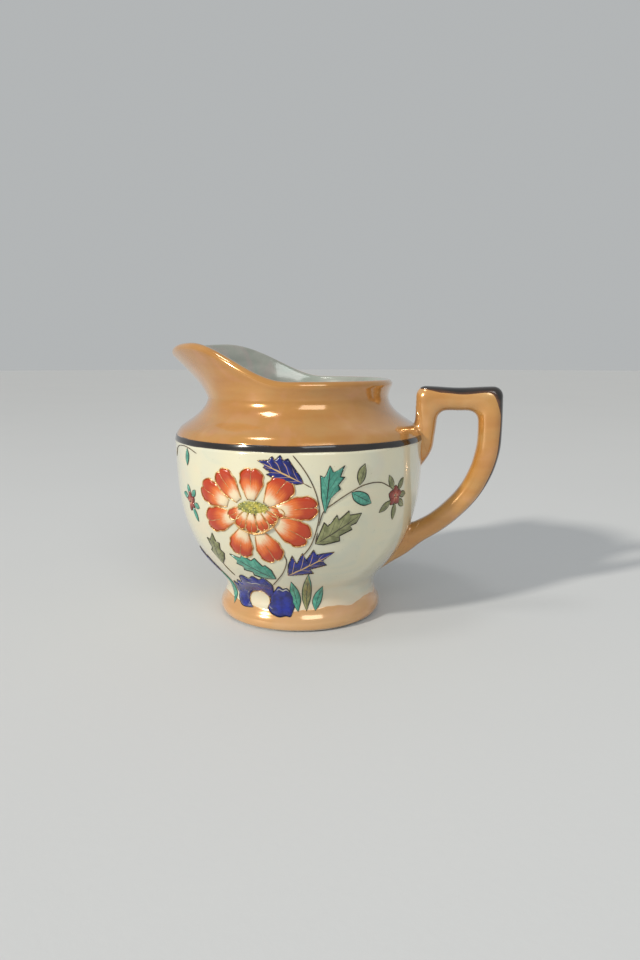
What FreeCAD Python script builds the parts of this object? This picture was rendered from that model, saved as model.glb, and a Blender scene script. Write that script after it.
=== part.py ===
import FreeCAD, Part
import math
import os
from FreeCAD import Vector

# Porcelain cream jug with a pinched spout, an angular handle and raised enamel flowers.
# Millimetres. Z is up, the foot stands on z = 0, the spout points to -X and the handle to +X.

os.makedirs("parts", exist_ok=True)

# ---- driving dimensions -------------------------------------------------------------------
belly_radius = 39.0         # the foot, waist, neck and rim keep their distance from it
foot_radius = belly_radius - 14.4   # outer edge of the foot where it meets the table
foot_bulge = 1.3            # how far the foot swells past that edge
foot_height = 4.8           # top of the rounded foot
foot_ring_width = 3.6       # width of the bare standing ring
base_recess = 1.4           # the base is hollowed this much inside the ring
waist_radius = belly_radius - 15.0
waist_height = 9.2
belly_top = 56.5            # lower edge of the shoulder line
line_height = 1.7           # height of the shoulder line
line_inset = 0.4            # the line leans in by this much
neck_radius = belly_radius - 10.9
neck_height = 69.5
rim_radius = belly_radius - 9.8
rim_height = 73.4           # middle of the wall where the round rim starts to curl over
spout_reach = 12.0          # spout tip beyond the round rim
spout_rise = 11.0           # rise of the rim towards the spout
tip_droop = 1.7             # the very tip hangs lower than the sides of the spout
spout_spread = 85.0         # half of the angle that the spout takes from the rim
spout_rounding = 8.0        # larger is a blunter tip, in degrees
wall = 2.4
floor_thickness = 3.6
glaze = 0.25
bare_foot = 0.8             # the glaze stops this high above the table
foot_glaze_top = 6.6        # upper edge of the amber glaze on the foot

handle_post_gap = 1.6       # centre of the upright post beyond the shoulder line
handle_post_width = 6.6
handle_rise = 14.6          # top of the handle above the shoulder line
handle_bar = 7.4            # height of the top bar
handle_reach = 22.8         # outer edge of the handle beyond the centre of the post
handle_limb = 7.2           # thickness of the outer limb
handle_depth = 7.4          # size across, along Y
handle_squareness = 0.85    # 1 is an oval section, less is squarer
handle_dish = 0.3           # the top bar sags this much in its middle
handle_corner = 3.0
handle_line_width = 3.0     # dark line over the top and down the outer limb
handle_line_sink = 0.7      # its edges follow the rounding down by up to this much
slip_spread = 5.4           # the upper slip is this far across where it meets the shoulder
slip_root = 5.8             # radius of the lower slip inside the belly
slip_shift = 2.6            # the lower slip spreads mostly into the corner above the limb

enamel = 0.35               # enamel stands this much above the glaze
enamel_gap = 0.2            # clear glaze between neighbouring enamels

# share of the belly's height, share of its swell from waist to full radius
belly_curve = [(0.07, 0.08), (0.15, 0.27), (0.23, 0.47), (0.33, 0.66), (0.46, 0.82), (0.61, 0.93),
               (0.78, 0.98)]

# share of the way from the line to the neck: first the height, then the radius
shoulder_curve = [(0.03, 0.01), (0.10, 0.08), (0.20, 0.25), (0.34, 0.49), (0.51, 0.72), (0.70, 0.90),
                  (0.86, 0.98)]

# lower part of the handle: share of the way out from the waist to the outer limb,
# share of the height of the belly, and half the thickness there
handle_curve = [(0.986, 0.93, 3.6), (0.94, 0.83, 3.5), (0.845, 0.715, 3.3), (0.71, 0.615, 3.2),
                (0.555, 0.53, 3.2), (0.395, 0.467, 3.4), (0.25, 0.40, 3.8), (0.09, 0.335, 3.9),
                (-0.07, 0.24, 3.0)]

limb_steps = 18             # sections down the lower part of the handle
rung_spacing = 2.6          # sections of the handle stand no further apart than this

# angles from the spout at which every section of the collar is set out
section_angles = [0, 7, 14, 21, 29, 38, 48, 60, 75, 92, 110, 128, 146, 163, 180]

line_top = belly_top + line_height
line_radius = belly_radius - line_inset
ring_inner_radius = foot_radius - foot_ring_width
floor_height = base_recess + floor_thickness
handle_post_x = line_radius + handle_post_gap
handle_top = line_top + handle_rise
handle_outer_x = handle_post_x + handle_reach
handle_post_left = handle_post_x - handle_post_width / 2
handle_post_right = handle_post_x + handle_post_width / 2
handle_bar_under = handle_top - handle_bar
handle_inner_x = handle_outer_x - handle_limb


# ---- belly ---------------------------------------------------------------------------------
def belly_points():
    # (radius, height) of the outer clay surface from the waist to the shoulder line
    points = [(waist_radius, waist_height)]
    for height_share, swell_share in belly_curve:
        radius = waist_radius + (belly_radius - waist_radius) * swell_share
        height = waist_height + (belly_top - waist_height) * height_share
        points.append((radius, height))
    points.append((belly_radius, belly_top))
    return points


def offset_points(points, distance):
    # the same curve moved square to itself, outwards when the distance is positive
    moved = []
    for index, (radius, height) in enumerate(points):
        before = points[max(index - 1, 0)]
        after = points[min(index + 1, len(points) - 1)]
        along = Vector(after[0] - before[0], 0, after[1] - before[1]).normalize()
        moved.append((radius + along.z * distance, height - along.x * distance))
    return moved


def arc_points(start, swell, end, count):
    # points on the circle through start and end that swells outwards by the given amount
    chord = math.hypot(end[0] - start[0], end[1] - start[1])
    radius = (chord * chord / 4 + swell * swell) / (2 * swell)
    half_angle = math.asin(chord / 2 / radius)
    middle = ((start[0] + end[0]) / 2, (start[1] + end[1]) / 2)
    centre = (middle[0] - (radius - swell), middle[1])
    lean = math.atan2(start[0] - end[0], end[1] - start[1])
    points = []
    for step in range(count + 1):
        turn = -half_angle + 2 * half_angle * step / count
        out, up = radius * math.cos(turn), radius * math.sin(turn)
        out, up = out * math.cos(lean) - up * math.sin(lean), out * math.sin(lean) + up * math.cos(lean)
        shift = (radius - swell) * (1 - math.cos(lean))
        points.append((centre[0] + out + shift, centre[1] + up - (radius - swell) * math.sin(lean)))
    points[0], points[-1] = start, end
    return points


def ring(points_by_angle):
    # one closed curve round the jug; points_by_angle gives (radius, height) at an angle from the spout
    angles = section_angles[:-1] + [360 - angle for angle in reversed(section_angles[1:])]
    points = []
    for angle in angles:
        radius, height = points_by_angle(min(angle, 360 - angle))
        turn = math.radians(180 + angle)
        points.append(Vector(radius * math.cos(turn), radius * math.sin(turn), height))
    curve = Part.BSplineCurve()
    knots = [math.radians(angle) for angle in angles] + [2 * math.pi]
    curve.interpolate(Points=points, PeriodicFlag=True, Parameters=knots)
    return Part.Wire([curve.toShape()])


def circle(point):
    return ring(lambda angle: point)


def band(wires):
    return Part.makeLoft(wires, False).Faces


def solid(faces):
    shell = Part.makeShell(faces)
    shell.sewShape()
    whole = Part.Solid(shell.Shells[0])
    if whole.Volume < 0:
        whole.reverse()
    return whole


def outside_wires(grow):
    # the foot and the belly, as two runs of rings that share the one between them
    foot_end = (foot_radius + foot_bulge * 0.3 + grow, foot_height)
    foot = [circle(point) for point in arc_points((foot_radius, 0), foot_bulge + grow * 0.5, foot_end, 4)]
    belly = offset_points(belly_points(), grow)
    belly[-1] = (belly_radius + grow, belly_top)
    return foot, [foot[-1]] + [circle(point) for point in belly]


def line_ring(grow):
    return circle((line_radius + grow, line_top))


# ---- collar: shoulder, neck, rim and spout -------------------------------------------------
def spout_share(angle):
    # 1 at the tip of the spout, 0 where the round rim begins
    if angle >= spout_spread:
        return 0.0
    blunt = math.hypot(angle, spout_rounding) - spout_rounding
    full = math.hypot(spout_spread, spout_rounding) - spout_rounding
    return (1 - blunt / full) ** 2


def rim_rise(angle):
    start, full = 95.0, 30.0
    share = min(max((start - angle) / (start - full), 0.0), 1.0)
    droop = tip_droop * math.exp(-(angle / 14.0) ** 2)
    return spout_rise * share * share * (3 - 2 * share) - droop


def collar_path(angle):
    # middle of the wall in (radius, height), from the shoulder to the start of the rim's curl
    path = []
    start_radius = line_radius - wall * 0.65
    neck = neck_radius - wall / 2 + spout_share(angle) * 0.8
    for height_share, radius_share in shoulder_curve:
        radius = start_radius + (neck - start_radius) * radius_share
        height = line_top + (neck_height - line_top) * height_share
        path.append((radius, height))
    path.append((neck, neck_height))
    rim = rim_radius - wall / 2 + spout_reach * spout_share(angle)
    top = rim_height + rim_rise(angle)
    bend = 1.6 - 0.45 * spout_share(angle)
    for share in (0.3, 0.55, 0.8, 1.0):
        path.append((neck + (rim - neck) * share ** bend, neck_height + (top - neck_height) * share))
    return path


def collar_column(angle, half):
    # (radius, height) all the way up the outside, over the rim and down the inside
    path = collar_path(angle)
    outside = [(line_radius - wall / 2 + half, line_top)] + offset_points(path, half)
    inside = offset_points(path, -half)[3:]
    before, end = path[-2], path[-1]
    along = Vector(end[0] - before[0], 0, end[1] - before[1]).normalize()
    curl = []
    for turn in (35, 90, 145):
        out = math.cos(math.radians(turn)) * half
        up = math.sin(math.radians(turn)) * half
        curl.append((end[0] + along.z * out + along.x * up, end[1] - along.x * out + along.z * up))
    start_radius = line_radius - wall * 1.3 - (half - wall / 2)
    slope = []
    for share in (0.66, 0.33, 0.12, 0.0):
        radius = start_radius + (inside[0][0] - start_radius) * share
        slope.append((radius, line_top + (inside[0][1] - line_top) * share))
    return outside + curl + inside[::-1] + slope


def collar_wires(grow):
    half = wall / 2 + grow
    columns = {angle: collar_column(angle, half) for angle in section_angles}
    return [ring(lambda angle: columns[angle][level]) for level in range(len(columns[0]))]


def body(grow):
    # the whole hollow jug, or the same swollen by a coat of glaze
    foot, belly = outside_wires(grow)
    over_rim = collar_wires(grow)
    inside_curve = offset_points(belly_points(), -wall - grow)[2:-1]
    floor = floor_height + grow
    floor_edge = (waist_radius - wall * 2.6, floor)
    floor_turn = (waist_radius - wall * 1.25 - grow, floor + wall)
    inside = [over_rim[-1]]
    for point in inside_curve[::-1] + [floor_turn, floor_edge]:
        inside.append(circle(point))
    recess = circle((ring_inner_radius - base_recess, base_recess - grow))
    ring_inner = circle((ring_inner_radius, 0))
    faces = band(foot) + band(belly) + band([belly[-1], over_rim[0]]) + band(over_rim) + band(inside)
    faces.append(Part.Face(inside[-1]))
    faces += band([ring_inner, recess])
    faces.append(Part.Face(recess))
    faces += Part.Face(foot[0]).cut(Part.Face(ring_inner)).Faces
    return solid(faces)


def outside(grow):
    # foot, belly and line as one filled solid
    foot, belly = outside_wires(grow)
    top = line_ring(grow)
    faces = band(foot) + band(belly) + band([belly[-1], top])
    return solid(faces + [Part.Face(foot[0]), Part.Face(top)])


def cavity():
    # the space inside the middle of the wall, carried on above the rim
    path_top = rim_height + spout_rise + 12
    columns = {}
    for angle in section_angles:
        path = collar_path(angle)
        before, end = path[-2], path[-1]
        along = Vector(end[0] - before[0], 0, end[1] - before[1]).normalize()
        past = (end[0] + along.x * wall, end[1] + along.z * wall)
        columns[angle] = [(line_radius - wall, line_top)] + path[2:] + [past, (past[0], path_top)]
    upper = [ring(lambda angle: columns[angle][level]) for level in range(len(columns[0]))]
    floor = floor_height - floor_thickness / 2
    lower = [circle((waist_radius - wall, floor))]
    for point in offset_points(belly_points(), -wall / 2)[1:-1]:
        lower.append(circle(point))
    faces = band(lower + [upper[0]]) + band(upper[:-1]) + band(upper[-2:])
    return solid(faces + [Part.Face(lower[0]), Part.Face(upper[-1])])


# ---- handle --------------------------------------------------------------------------------
def spot(x, z, y=0.0):
    return Vector(x, y, z)


def limb_path():
    # (x, z, half thickness) down the outer limb to the lower root
    limb_x = handle_outer_x - handle_limb / 2
    knots = [Vector(limb_x, handle_limb / 2, belly_top)]
    for out_share, up_share, half in handle_curve:
        knots.append(Vector(waist_radius + (limb_x - waist_radius) * out_share, half, belly_top * up_share))
    curve = Part.BSplineCurve()
    curve.interpolate(knots)
    return [(point.x, point.z, point.y) for point in curve.discretize(Number=limb_steps)]


def limb_rungs():
    # pairs of points (outer edge, inner edge) down the lower limb, square to its path
    path = limb_path()
    rungs = []
    for index, (x, z, half) in enumerate(path):
        before = path[max(index - 1, 0)]
        after = path[min(index + 1, len(path) - 1)]
        along = Vector(after[0] - before[0], 0, after[1] - before[1]).normalize()
        if index == 0:
            along = Vector(0, 0, -1)
        across = Vector(-along.z, 0, along.x) * half
        rungs.append((spot(x, z) + across, spot(x, z) - across))
    return rungs


def corner_rungs(outer_centre, inner_centre, side):
    # round one upper corner of the handle; side is -1 over the post and 1 over the outer limb
    rungs = []
    for turn in (0, 30, 60, 90):
        out = Vector(side * math.cos(math.radians(turn)), 0, math.sin(math.radians(turn)))
        rungs.append((outer_centre + out * handle_corner, inner_centre + out * handle_corner))
    return rungs


def even_out(rungs):
    # more rungs wherever two neighbours stand far apart
    filled = [rungs[0]]
    for outer, inner in rungs[1:]:
        last_outer, last_inner = filled[-1]
        gap = max((outer - last_outer).Length, (inner - last_inner).Length)
        count = max(1, math.ceil(gap / rung_spacing))
        for step in range(1, count + 1):
            share = step / count
            far = last_outer + (outer - last_outer) * share
            near = last_inner + (inner - last_inner) * share
            filled.append((far, near))
    return filled


def handle_rungs():
    # pairs of points (outer edge, inner edge) from the upper root round to the lower one
    left, post = handle_post_left, handle_post_right
    round_in = handle_corner
    rungs = [(spot(left - 1.2, belly_top - 9), spot(belly_radius - 0.6, belly_top - 9.5))]
    rungs.append((spot(left - 0.3, belly_top - 3), spot(post - 1.4, belly_top - 3.5)))
    rungs.append((spot(left, line_top), spot(post - 0.5, line_top)))
    outer_centre = spot(handle_post_left + round_in, handle_top - round_in)
    inner_centre = spot(handle_post_right + round_in, handle_bar_under - round_in)
    rungs += corner_rungs(outer_centre, inner_centre, -1)
    middle = (handle_post_x + handle_outer_x - handle_limb / 2) / 2
    rungs.append((spot(middle, handle_top - handle_dish), spot(middle, handle_bar_under)))
    outer_centre = spot(handle_outer_x - round_in, handle_top - round_in)
    inner_centre = spot(handle_inner_x - round_in, handle_bar_under - round_in)
    rungs += corner_rungs(outer_centre, inner_centre, 1)[::-1]
    return even_out(rungs + limb_rungs())


def rung_points(outer, inner, half_depth):
    # a rounded section across the handle between an outer and an inner point
    centre, reach_out = (outer + inner) * 0.5, (outer - inner) * 0.5
    points = []
    for turn in range(-180, 181, 20):
        across, side = math.cos(math.radians(turn)), math.sin(math.radians(turn))
        across = math.copysign(abs(across) ** handle_squareness, across)
        side = math.copysign(abs(side) ** handle_squareness, side)
        points.append(centre + reach_out * across + Vector(0, half_depth * side, 0))
    points[-1] = points[0]
    return points


def handle_bow():
    # the whole handle, its roots run on into the body
    grid = [rung_points(outer, inner, handle_depth / 2) for outer, inner in handle_rungs()]
    surface = Part.BSplineSurface()
    surface.interpolate(grid)
    skin = surface.toShape()
    ends = [edge for edge in skin.Edges if edge.isClosed()]
    return solid([skin] + [Part.Face(Part.Wire([edge])) for edge in ends])


def disc(centre, radius, direction):
    return Part.Wire([Part.makeCircle(radius, centre, direction)])


def upper_slip():
    low = disc(spot(handle_post_x - 2.7, belly_top), slip_spread, Vector(0, 0, 1))
    high = disc(spot(handle_post_x, line_top + 6), handle_post_width / 2 + 0.3, Vector(0, 0, 1))
    return Part.makeLoft([low, high], True)


def lower_slip():
    path = limb_path()
    near, far = path[-6], path[-3]
    along = Vector(far[0] - near[0], 0, far[1] - near[1]).normalize()
    inward = Vector(along.z, 0, -along.x)
    high = disc(spot(near[0], near[1]), near[2] + 0.3, along)
    low = disc(spot(far[0], far[1]) + inward * slip_shift, slip_root, along)
    return Part.makeLoft([high, low], True)


def handle_stripe(bow):
    # the dark line, a thin strip over the top bar and down the outer limb
    bare = line_top + handle_rise * 0.75
    rungs = handle_rungs()
    first = next(index for index, rung in enumerate(rungs) if rung[0].z > bare)
    rungs = rungs[first + 3:-limb_steps // 3]
    outer, inner = [rung[0] for rung in rungs], [rung[1] for rung in rungs]
    outward = [(far - near).normalize() for far, near in zip(outer, inner)]
    above = [point + out * glaze for point, out in zip(outer, outward)]
    below = [point - out * handle_line_sink for point, out in zip(outer, outward)]
    edges = []
    for points in (above, below):
        curve = Part.BSplineCurve()
        curve.interpolate(points)
        edges.append(curve.toShape())
    edges.append(Part.makeLine(above[0], below[0]))
    edges.append(Part.makeLine(above[-1], below[-1]))
    face = Part.Face(Part.Wire(Part.__sortEdges__(edges)))
    face.translate(Vector(0, -handle_line_width / 2, 0))
    return face.extrude(Vector(0, handle_line_width, 0)).cut(bow)


# ---- raised enamels ------------------------------------------------------------------------
def belly_point(turn, height, grow):
    # point and outward direction on the belly; turn is in degrees from the middle of the side, and
    # is positive towards the handle
    points = belly_points()
    while len(points) > 2 and points[1][1] < height:
        points = points[1:]
    low, high = points[0], points[1]
    share = (height - low[1]) / (high[1] - low[1])
    radius = low[0] + (high[0] - low[0]) * share
    slope = Vector(high[0] - low[0], 0, high[1] - low[1]).normalize()
    angle = math.radians(turn - 90)
    out = Vector(math.cos(angle) * slope.z, math.sin(angle) * slope.z, -slope.x)
    return Vector(math.cos(angle) * (radius + grow), math.sin(angle) * (radius + grow), height), out


def stamp(outline, base, tip, relief):
    # lay a flat outline on the belly so that its own X runs from base to tip
    start, start_out = belly_point(*base, glaze)
    end, end_out = belly_point(*tip, glaze)
    out = (start_out + end_out).normalize()
    along = end - start
    along = (along - out * along.dot(out)).normalize()
    across = out.cross(along)
    place = FreeCAD.Matrix(along.x, across.x, out.x, start.x, along.y, across.y, out.y, start.y,
                           along.z, across.z, out.z, start.z, 0, 0, 0, 1)
    prism = Part.Face(outline).extrude(Vector(0, 0, 12))
    prism.translate(Vector(0, 0, -6))
    return prism.transformShape(place).common(relief)


def reach(base, tip):
    return (belly_point(*tip, glaze)[0] - belly_point(*base, glaze)[0]).Length


def polygon(points):
    return Part.makePolygon([Vector(x, y, 0) for x, y in points + points[:1]])


def petal(length, width, root):
    # narrow at its root, widest beyond its middle, with a notch between two round lobes at the tip
    wide = length * 0.66
    sides = [Vector(0, -root / 2, 0), Vector(wide, -width / 2, 0), Vector(length, -width * 0.2, 0),
             Vector(length * 0.94, 0, 0), Vector(length, width * 0.2, 0), Vector(wide, width / 2, 0),
             Vector(0, root / 2, 0)]
    edges = [Part.makeLine(sides[6], sides[0]), Part.makeLine(sides[0], sides[1])]
    edges.append(Part.Arc(sides[1], sides[2], sides[3]).toShape())
    edges.append(Part.Arc(sides[3], sides[4], sides[5]).toShape())
    edges.append(Part.makeLine(sides[5], sides[6]))
    return Part.Wire(edges)


def lobed_leaf(length, width, lobes):
    # pairs of pointed lobes that sweep towards the tip
    side = []
    for lobe in range(lobes):
        start = 0.12 + 0.7 * lobe / lobes
        half = width / 2 * math.sin(math.pi * (0.28 + 0.55 * lobe / lobes))
        side.append((length * start, half * 0.5))
        side.append((length * (start + 0.75 / lobes), half))
        side.append((length * (start + 0.62 / lobes), half * 0.62))
    mirrored = [(x, -y) for x, y in reversed(side)]
    return polygon([(0, 0)] + side + [(length, 0)] + mirrored)


def blade(length, width):
    # a plain pointed leaf made of two arcs
    edges = []
    for side in (1, -1):
        ends = [Vector(0, 0, 0), Vector(length / 2, side * width / 2, 0), Vector(length, 0, 0)]
        edges.append(Part.Arc(*ends).toShape())
    return Part.Wire(edges)


def strip(length, width):
    half = width / 2
    return polygon([(-half, -half), (length + half, -half), (length + half, half), (-half, half)])


def both_sides(shapes):
    # the decoration is the same on the far side of the jug
    solids = []
    for shape in shapes:
        solids += shape.Solids
        solids += shape.mirror(Vector(0, 0, 0), Vector(0, 1, 0)).Solids
    return solids


def stem(points, width, relief):
    whole = None
    for start, end in zip(points, points[1:]):
        piece = stamp(strip(reach(start, end), width), start, end, relief)
        whole = piece if whole is None else whole.fuse(piece)
    return whole.removeSplitter()


# root and tip of the nine outer petals, in degrees round the jug and height
outer_petals = [((-20.7, 41.3), (-33.7, 45.5)), ((-15.2, 42.9), (-23.0, 50.1)), ((-7.9, 43.9), (-7.4, 51.7)),
                ((0.4, 41.6), (7.1, 48.6)), ((5.2, 40.2), (18.9, 41.4)), ((2.0, 36.9), (15.0, 32.3)),
                ((-5.6, 33.0), (0.0, 26.0)), ((-14.0, 33.7), (-17.5, 26.9)), ((-17.4, 37.4), (-32.1, 35.7))]
petal_width = 6.2
petal_root = 2.4            # width of a petal where it starts
stamen_ends = ((-14.0, 41.1), (-1.0, 41.1))
stamen_height = 3.6
# root and tip of the inner petals in front of the stamens
cup_petals = [((-13.0, 40.6), (-18.6, 37.9)), ((-11.6, 39.6), (-14.0, 35.2)), ((-8.4, 39.0), (-8.6, 34.2)),
              ((-5.2, 39.2), (-3.2, 34.8)), ((-2.6, 40.0), (1.6, 37.4))]
cup_width = 2.8
gold_arc = [(-15.6, 35.0), (-12.4, 34.0), (-8.4, 33.6), (-4.2, 34.0), (-0.4, 35.2), (2.6, 37.6)]
gold_width = 0.6

# name, base, tip, width, pairs of lobes
lobed_leaves = [
    ("leaf_blue_upper", (12.6, 48.6), (-3.5, 55.3), 6.4, 3),
    ("leaf_turquoise_upper", (21.2, 42.5), (25.5, 52.6), 6.6, 3),
    ("leaf_olive_right", (18.4, 31.6), (39.5, 38.2), 6.0, 3),
    ("leaf_blue_lower", (8.0, 21.4), (27.5, 28.0), 6.4, 3),
    ("leaf_turquoise_lower", (-3.0, 19.6), (-23.5, 25.6), 5.6, 3),
    ("leaf_olive_left", (-29.0, 22.8), (-36.0, 31.4), 4.2, 2),
    ("leaf_blue_left", (-46.5, 16.2), (-60.0, 22.6), 4.4, 2),
]
branch = [(22.2, 40.2), (27.5, 43.0), (33.5, 45.4), (40.5, 46.9), (47.5, 46.8), (53.0, 45.2)]
main_stem = [(10.5, 55.6), (14.6, 53.0), (17.2, 49.0), (19.6, 44.2), (20.0, 37.6), (17.0, 30.4),
             (13.4, 27.6)]
lower_stem = [(3.6, 25.4), (5.4, 23.4), (3.8, 20.8), (0.0, 18.2)]
hanging_stem = [(-52, 53.0), (-49, 55.2), (-45, 55.4), (-40, 54.2)]
stem_width = 0.6
twig_width = 0.5

# name, base, tip, width
plain_leaves = [
    ("leaf_small_olive", (37, 46.9), (38.6, 52.3), 2.2),
    ("leaf_small_turquoise", (34.5, 44.8), (42.5, 41.2), 2.4),
]

# name, foot of the rock's own upright, top of it, outline as (up, across)
rocks = [
    ("rock_left", (-27, 8), (-24, 17.0),
     [(0, -4.6), (6.5, -5.4), (9.8, -2.0), (9.6, 1.2), (6.2, 4.4), (2.4, 1.8), (0, 1.6)]),
    ("rock_right", (-2.5, 5.8), (-1.6, 15.0),
     [(0, -3.8), (7.8, -4.0), (9.2, -1.0), (8.4, 3.0), (4.0, 4.6), (0, 3.4)]),
]
grass = [((9.0, 6.0), (9.4, 14.4)), ((15.2, 6.2), (14.8, 17.2)), ((21.6, 6.0), (24.6, 13.8)),
         ((-43, 6.4), (-45.5, 14.4))]
grass_width = 2.4

side_flower = (57.0, 42.3)
spout_flower = (-44.0, 40.0)
# name, middle, tips as (direction, length), width, start
rosettes = [
    ("side_flower_petals", side_flower, [(18, 2.3), (90, 2.6), (162, 2.3), (234, 2.5), (306, 2.5)], 1.7, 0.3),
    ("side_flower_sepals", side_flower,
     [(54, 5.6), (122, 6.8), (0, 5.0), (322, 5.8), (272, 6.6), (214, 7.0)], 1.7, 2.9),
    ("spout_flower_petals", spout_flower,
     [(30, 2.2), (100, 2.4), (165, 2.0), (235, 2.3), (300, 2.4)], 1.6, 0.3),
    ("spout_flower_leaves", spout_flower, [(62, 4.6), (290, 6.0), (140, 4.4)], 1.6, 2.8),
]


def rosette(middle, tips, width, inner, relief):
    # leaves or petals set round a middle; tips are (degrees, length)
    shapes = []
    scale = math.degrees(1 / belly_radius)
    for turn, length in tips:
        x, y = math.cos(math.radians(turn)), math.sin(math.radians(turn))
        base = (middle[0] + inner * x * scale, middle[1] + inner * y)
        tip = (middle[0] + length * x * scale, middle[1] + length * y)
        shapes.append(stamp(blade(reach(base, tip), width), base, tip, relief))
    return shapes


def enamels(relief):
    nodes = {}
    taken = []

    def add(name, shapes):
        # each enamel stops where one that was laid before it begins
        cleared = []
        for shape in shapes:
            for other in taken:
                if shape.BoundBox.intersect(other.BoundBox):
                    shape = shape.cut(other)
            cleared.append(shape)
        taken.extend(cleared)
        nodes[name] = both_sides(cleared)

    add("peony_gold_arc", [stem(gold_arc, gold_width, relief)])
    left, right = stamen_ends
    add("peony_stamens", [stamp(blade(reach(left, right), stamen_height), left, right, relief)])
    cup = [stamp(blade(reach(root, tip), cup_width), root, tip, relief) for root, tip in cup_petals]
    add("peony_cup_petals", cup)
    for number, (root, tip) in enumerate(outer_petals, 1):
        shape = stamp(petal(reach(root, tip), petal_width, petal_root), root, tip, relief)
        add("peony_petal_%d" % number, [shape])
    for name, base, tip, width, lobes in lobed_leaves:
        add(name, [stamp(lobed_leaf(reach(base, tip), width, lobes), base, tip, relief)])
    for name, base, tip, width in plain_leaves:
        add(name, [stamp(blade(reach(base, tip), width), base, tip, relief)])
    for name, base, tip, outline in rocks:
        add(name, [stamp(polygon(outline), base, tip, relief)])
    blades = [stamp(blade(reach(base, tip), grass_width), base, tip, relief) for base, tip in grass]
    add("grass_blades", blades)
    for name, middle, tips, width, inner in rosettes:
        add(name, rosette(middle, tips, width, inner, relief))
    drop = stamp(blade(reach((-44.4, 54.8), (-43.8, 49.8)), 1.8), (-44.4, 54.8), (-43.8, 49.8), relief)
    add("hanging_sprig", [stem(hanging_stem, twig_width, relief), drop])
    add("stem_main", [stem(main_stem, stem_width, relief)])
    add("stem_lower", [stem(lower_stem, stem_width, relief)])
    add("stem_branch", [stem(branch, twig_width, relief)])
    return nodes


# ---- all the pieces ------------------------------------------------------------------------
def slab(low, high, radius=80):
    return Part.makeCylinder(radius, high - low, Vector(0, 0, low))


def save(name, solids):
    shape = solids[0] if len(solids) == 1 else Part.makeCompound(solids)
    shape.exportStep("parts/%s.step" % name)


def main():
    clay = body(0)
    core = cavity()
    glazed = body(glaze)
    bow = handle_bow()
    filled = clay.fuse(core)
    handle = bow.cut(filled)
    upper = upper_slip().cut(filled).cut(bow)
    lower = lower_slip().cut(filled).cut(bow)
    save("body_casting", clay.Solids)
    save("handle_casting", handle.Solids)
    save("upper_handle_slip", upper.Solids)
    save("lower_handle_slip", lower.Solids)

    skin = glazed.cut(clay)
    outer = skin.cut(core).cut(bow).cut(upper).cut(lower)
    under = slab(0, floor_height - floor_thickness / 2, ring_inner_radius + 0.5)
    save("inside_glaze", skin.common(core).Solids)
    save("base_glaze", outer.common(under).Solids)
    outer = outer.cut(under)
    save("foot_glaze", outer.common(slab(bare_foot, foot_glaze_top)).Solids)
    save("belly_glaze", outer.common(slab(foot_glaze_top, belly_top)).Solids)
    save("shoulder_line", outer.common(slab(belly_top, line_top)).Solids)
    save("collar_glaze", outer.common(slab(line_top, line_top + 60)).Solids)

    save("handle_line", handle_stripe(bow).Solids)

    relief = outside(glaze + enamel).cut(outside(glaze)).common(slab(bare_foot * 2, belly_top - enamel_gap))
    for name, solids in enamels(relief).items():
        save(name, solids)


main()
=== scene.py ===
import math
import random
import re
import bmesh
import bpy
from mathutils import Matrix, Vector, noise
from mathutils.bvhtree import BVHTree
from mathutils.geometry import interpolate_bezier


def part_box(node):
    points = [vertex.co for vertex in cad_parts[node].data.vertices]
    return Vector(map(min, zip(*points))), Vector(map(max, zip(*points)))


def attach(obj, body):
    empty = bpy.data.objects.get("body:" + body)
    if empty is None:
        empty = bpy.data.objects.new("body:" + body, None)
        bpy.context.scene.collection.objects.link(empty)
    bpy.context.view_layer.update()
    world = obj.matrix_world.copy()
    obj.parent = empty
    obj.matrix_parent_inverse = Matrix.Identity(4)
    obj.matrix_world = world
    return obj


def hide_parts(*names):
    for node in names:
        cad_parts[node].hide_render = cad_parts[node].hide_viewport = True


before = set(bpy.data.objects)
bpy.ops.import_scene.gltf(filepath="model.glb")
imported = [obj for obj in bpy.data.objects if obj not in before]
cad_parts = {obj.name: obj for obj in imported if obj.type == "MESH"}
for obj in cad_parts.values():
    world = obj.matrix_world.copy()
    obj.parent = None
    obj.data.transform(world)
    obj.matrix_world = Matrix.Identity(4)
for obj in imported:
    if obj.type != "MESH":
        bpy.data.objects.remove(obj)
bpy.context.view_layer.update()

mm = 0.001
random.seed(11)
scene = bpy.context.scene

lineLow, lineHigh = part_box("shoulder_line")
_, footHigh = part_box("foot_glaze")

# sizes of the jug in millimetres, the spout points to -X
jug = {
    "footRadius": 24.6, "waistRadius": 24.0, "waistHeight": 9.2,
    "bellyRadius": 39.0, "bellyTop": round(lineLow.z / mm, 3),
    "lineTop": round(lineHigh.z / mm, 3), "lineRadius": 38.6,
    "neckRadius": 28.1, "neckHeight": 69.5, "rimRadius": 29.2, "rimHeight": 73.4,
    "spoutReach": 12.0, "spoutRise": 11.0, "tipDroop": 1.7, "spoutSpread": 85.0, "spoutRounding": 8.0,
    "wall": 2.4, "floorHeight": 5.0, "glaze": 0.25, "steps": 224,
    "footRing": 3.6, "baseRecess": 1.4,
}
bellyCurve = [(0.07, 0.08), (0.15, 0.27), (0.23, 0.47), (0.33, 0.66), (0.46, 0.82), (0.61, 0.93),
              (0.78, 0.98)]
shoulderCurve = [(0.03, 0.01), (0.10, 0.08), (0.20, 0.25), (0.34, 0.49), (0.51, 0.72), (0.70, 0.90),
                 (0.86, 0.98)]
footCurve = [(24.6, 0.0), (25.35, 0.7), (25.85, 1.8), (25.9, 2.9), (25.5, 4.1), (24.9, 5.2), (24.3, 6.8)]


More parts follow.
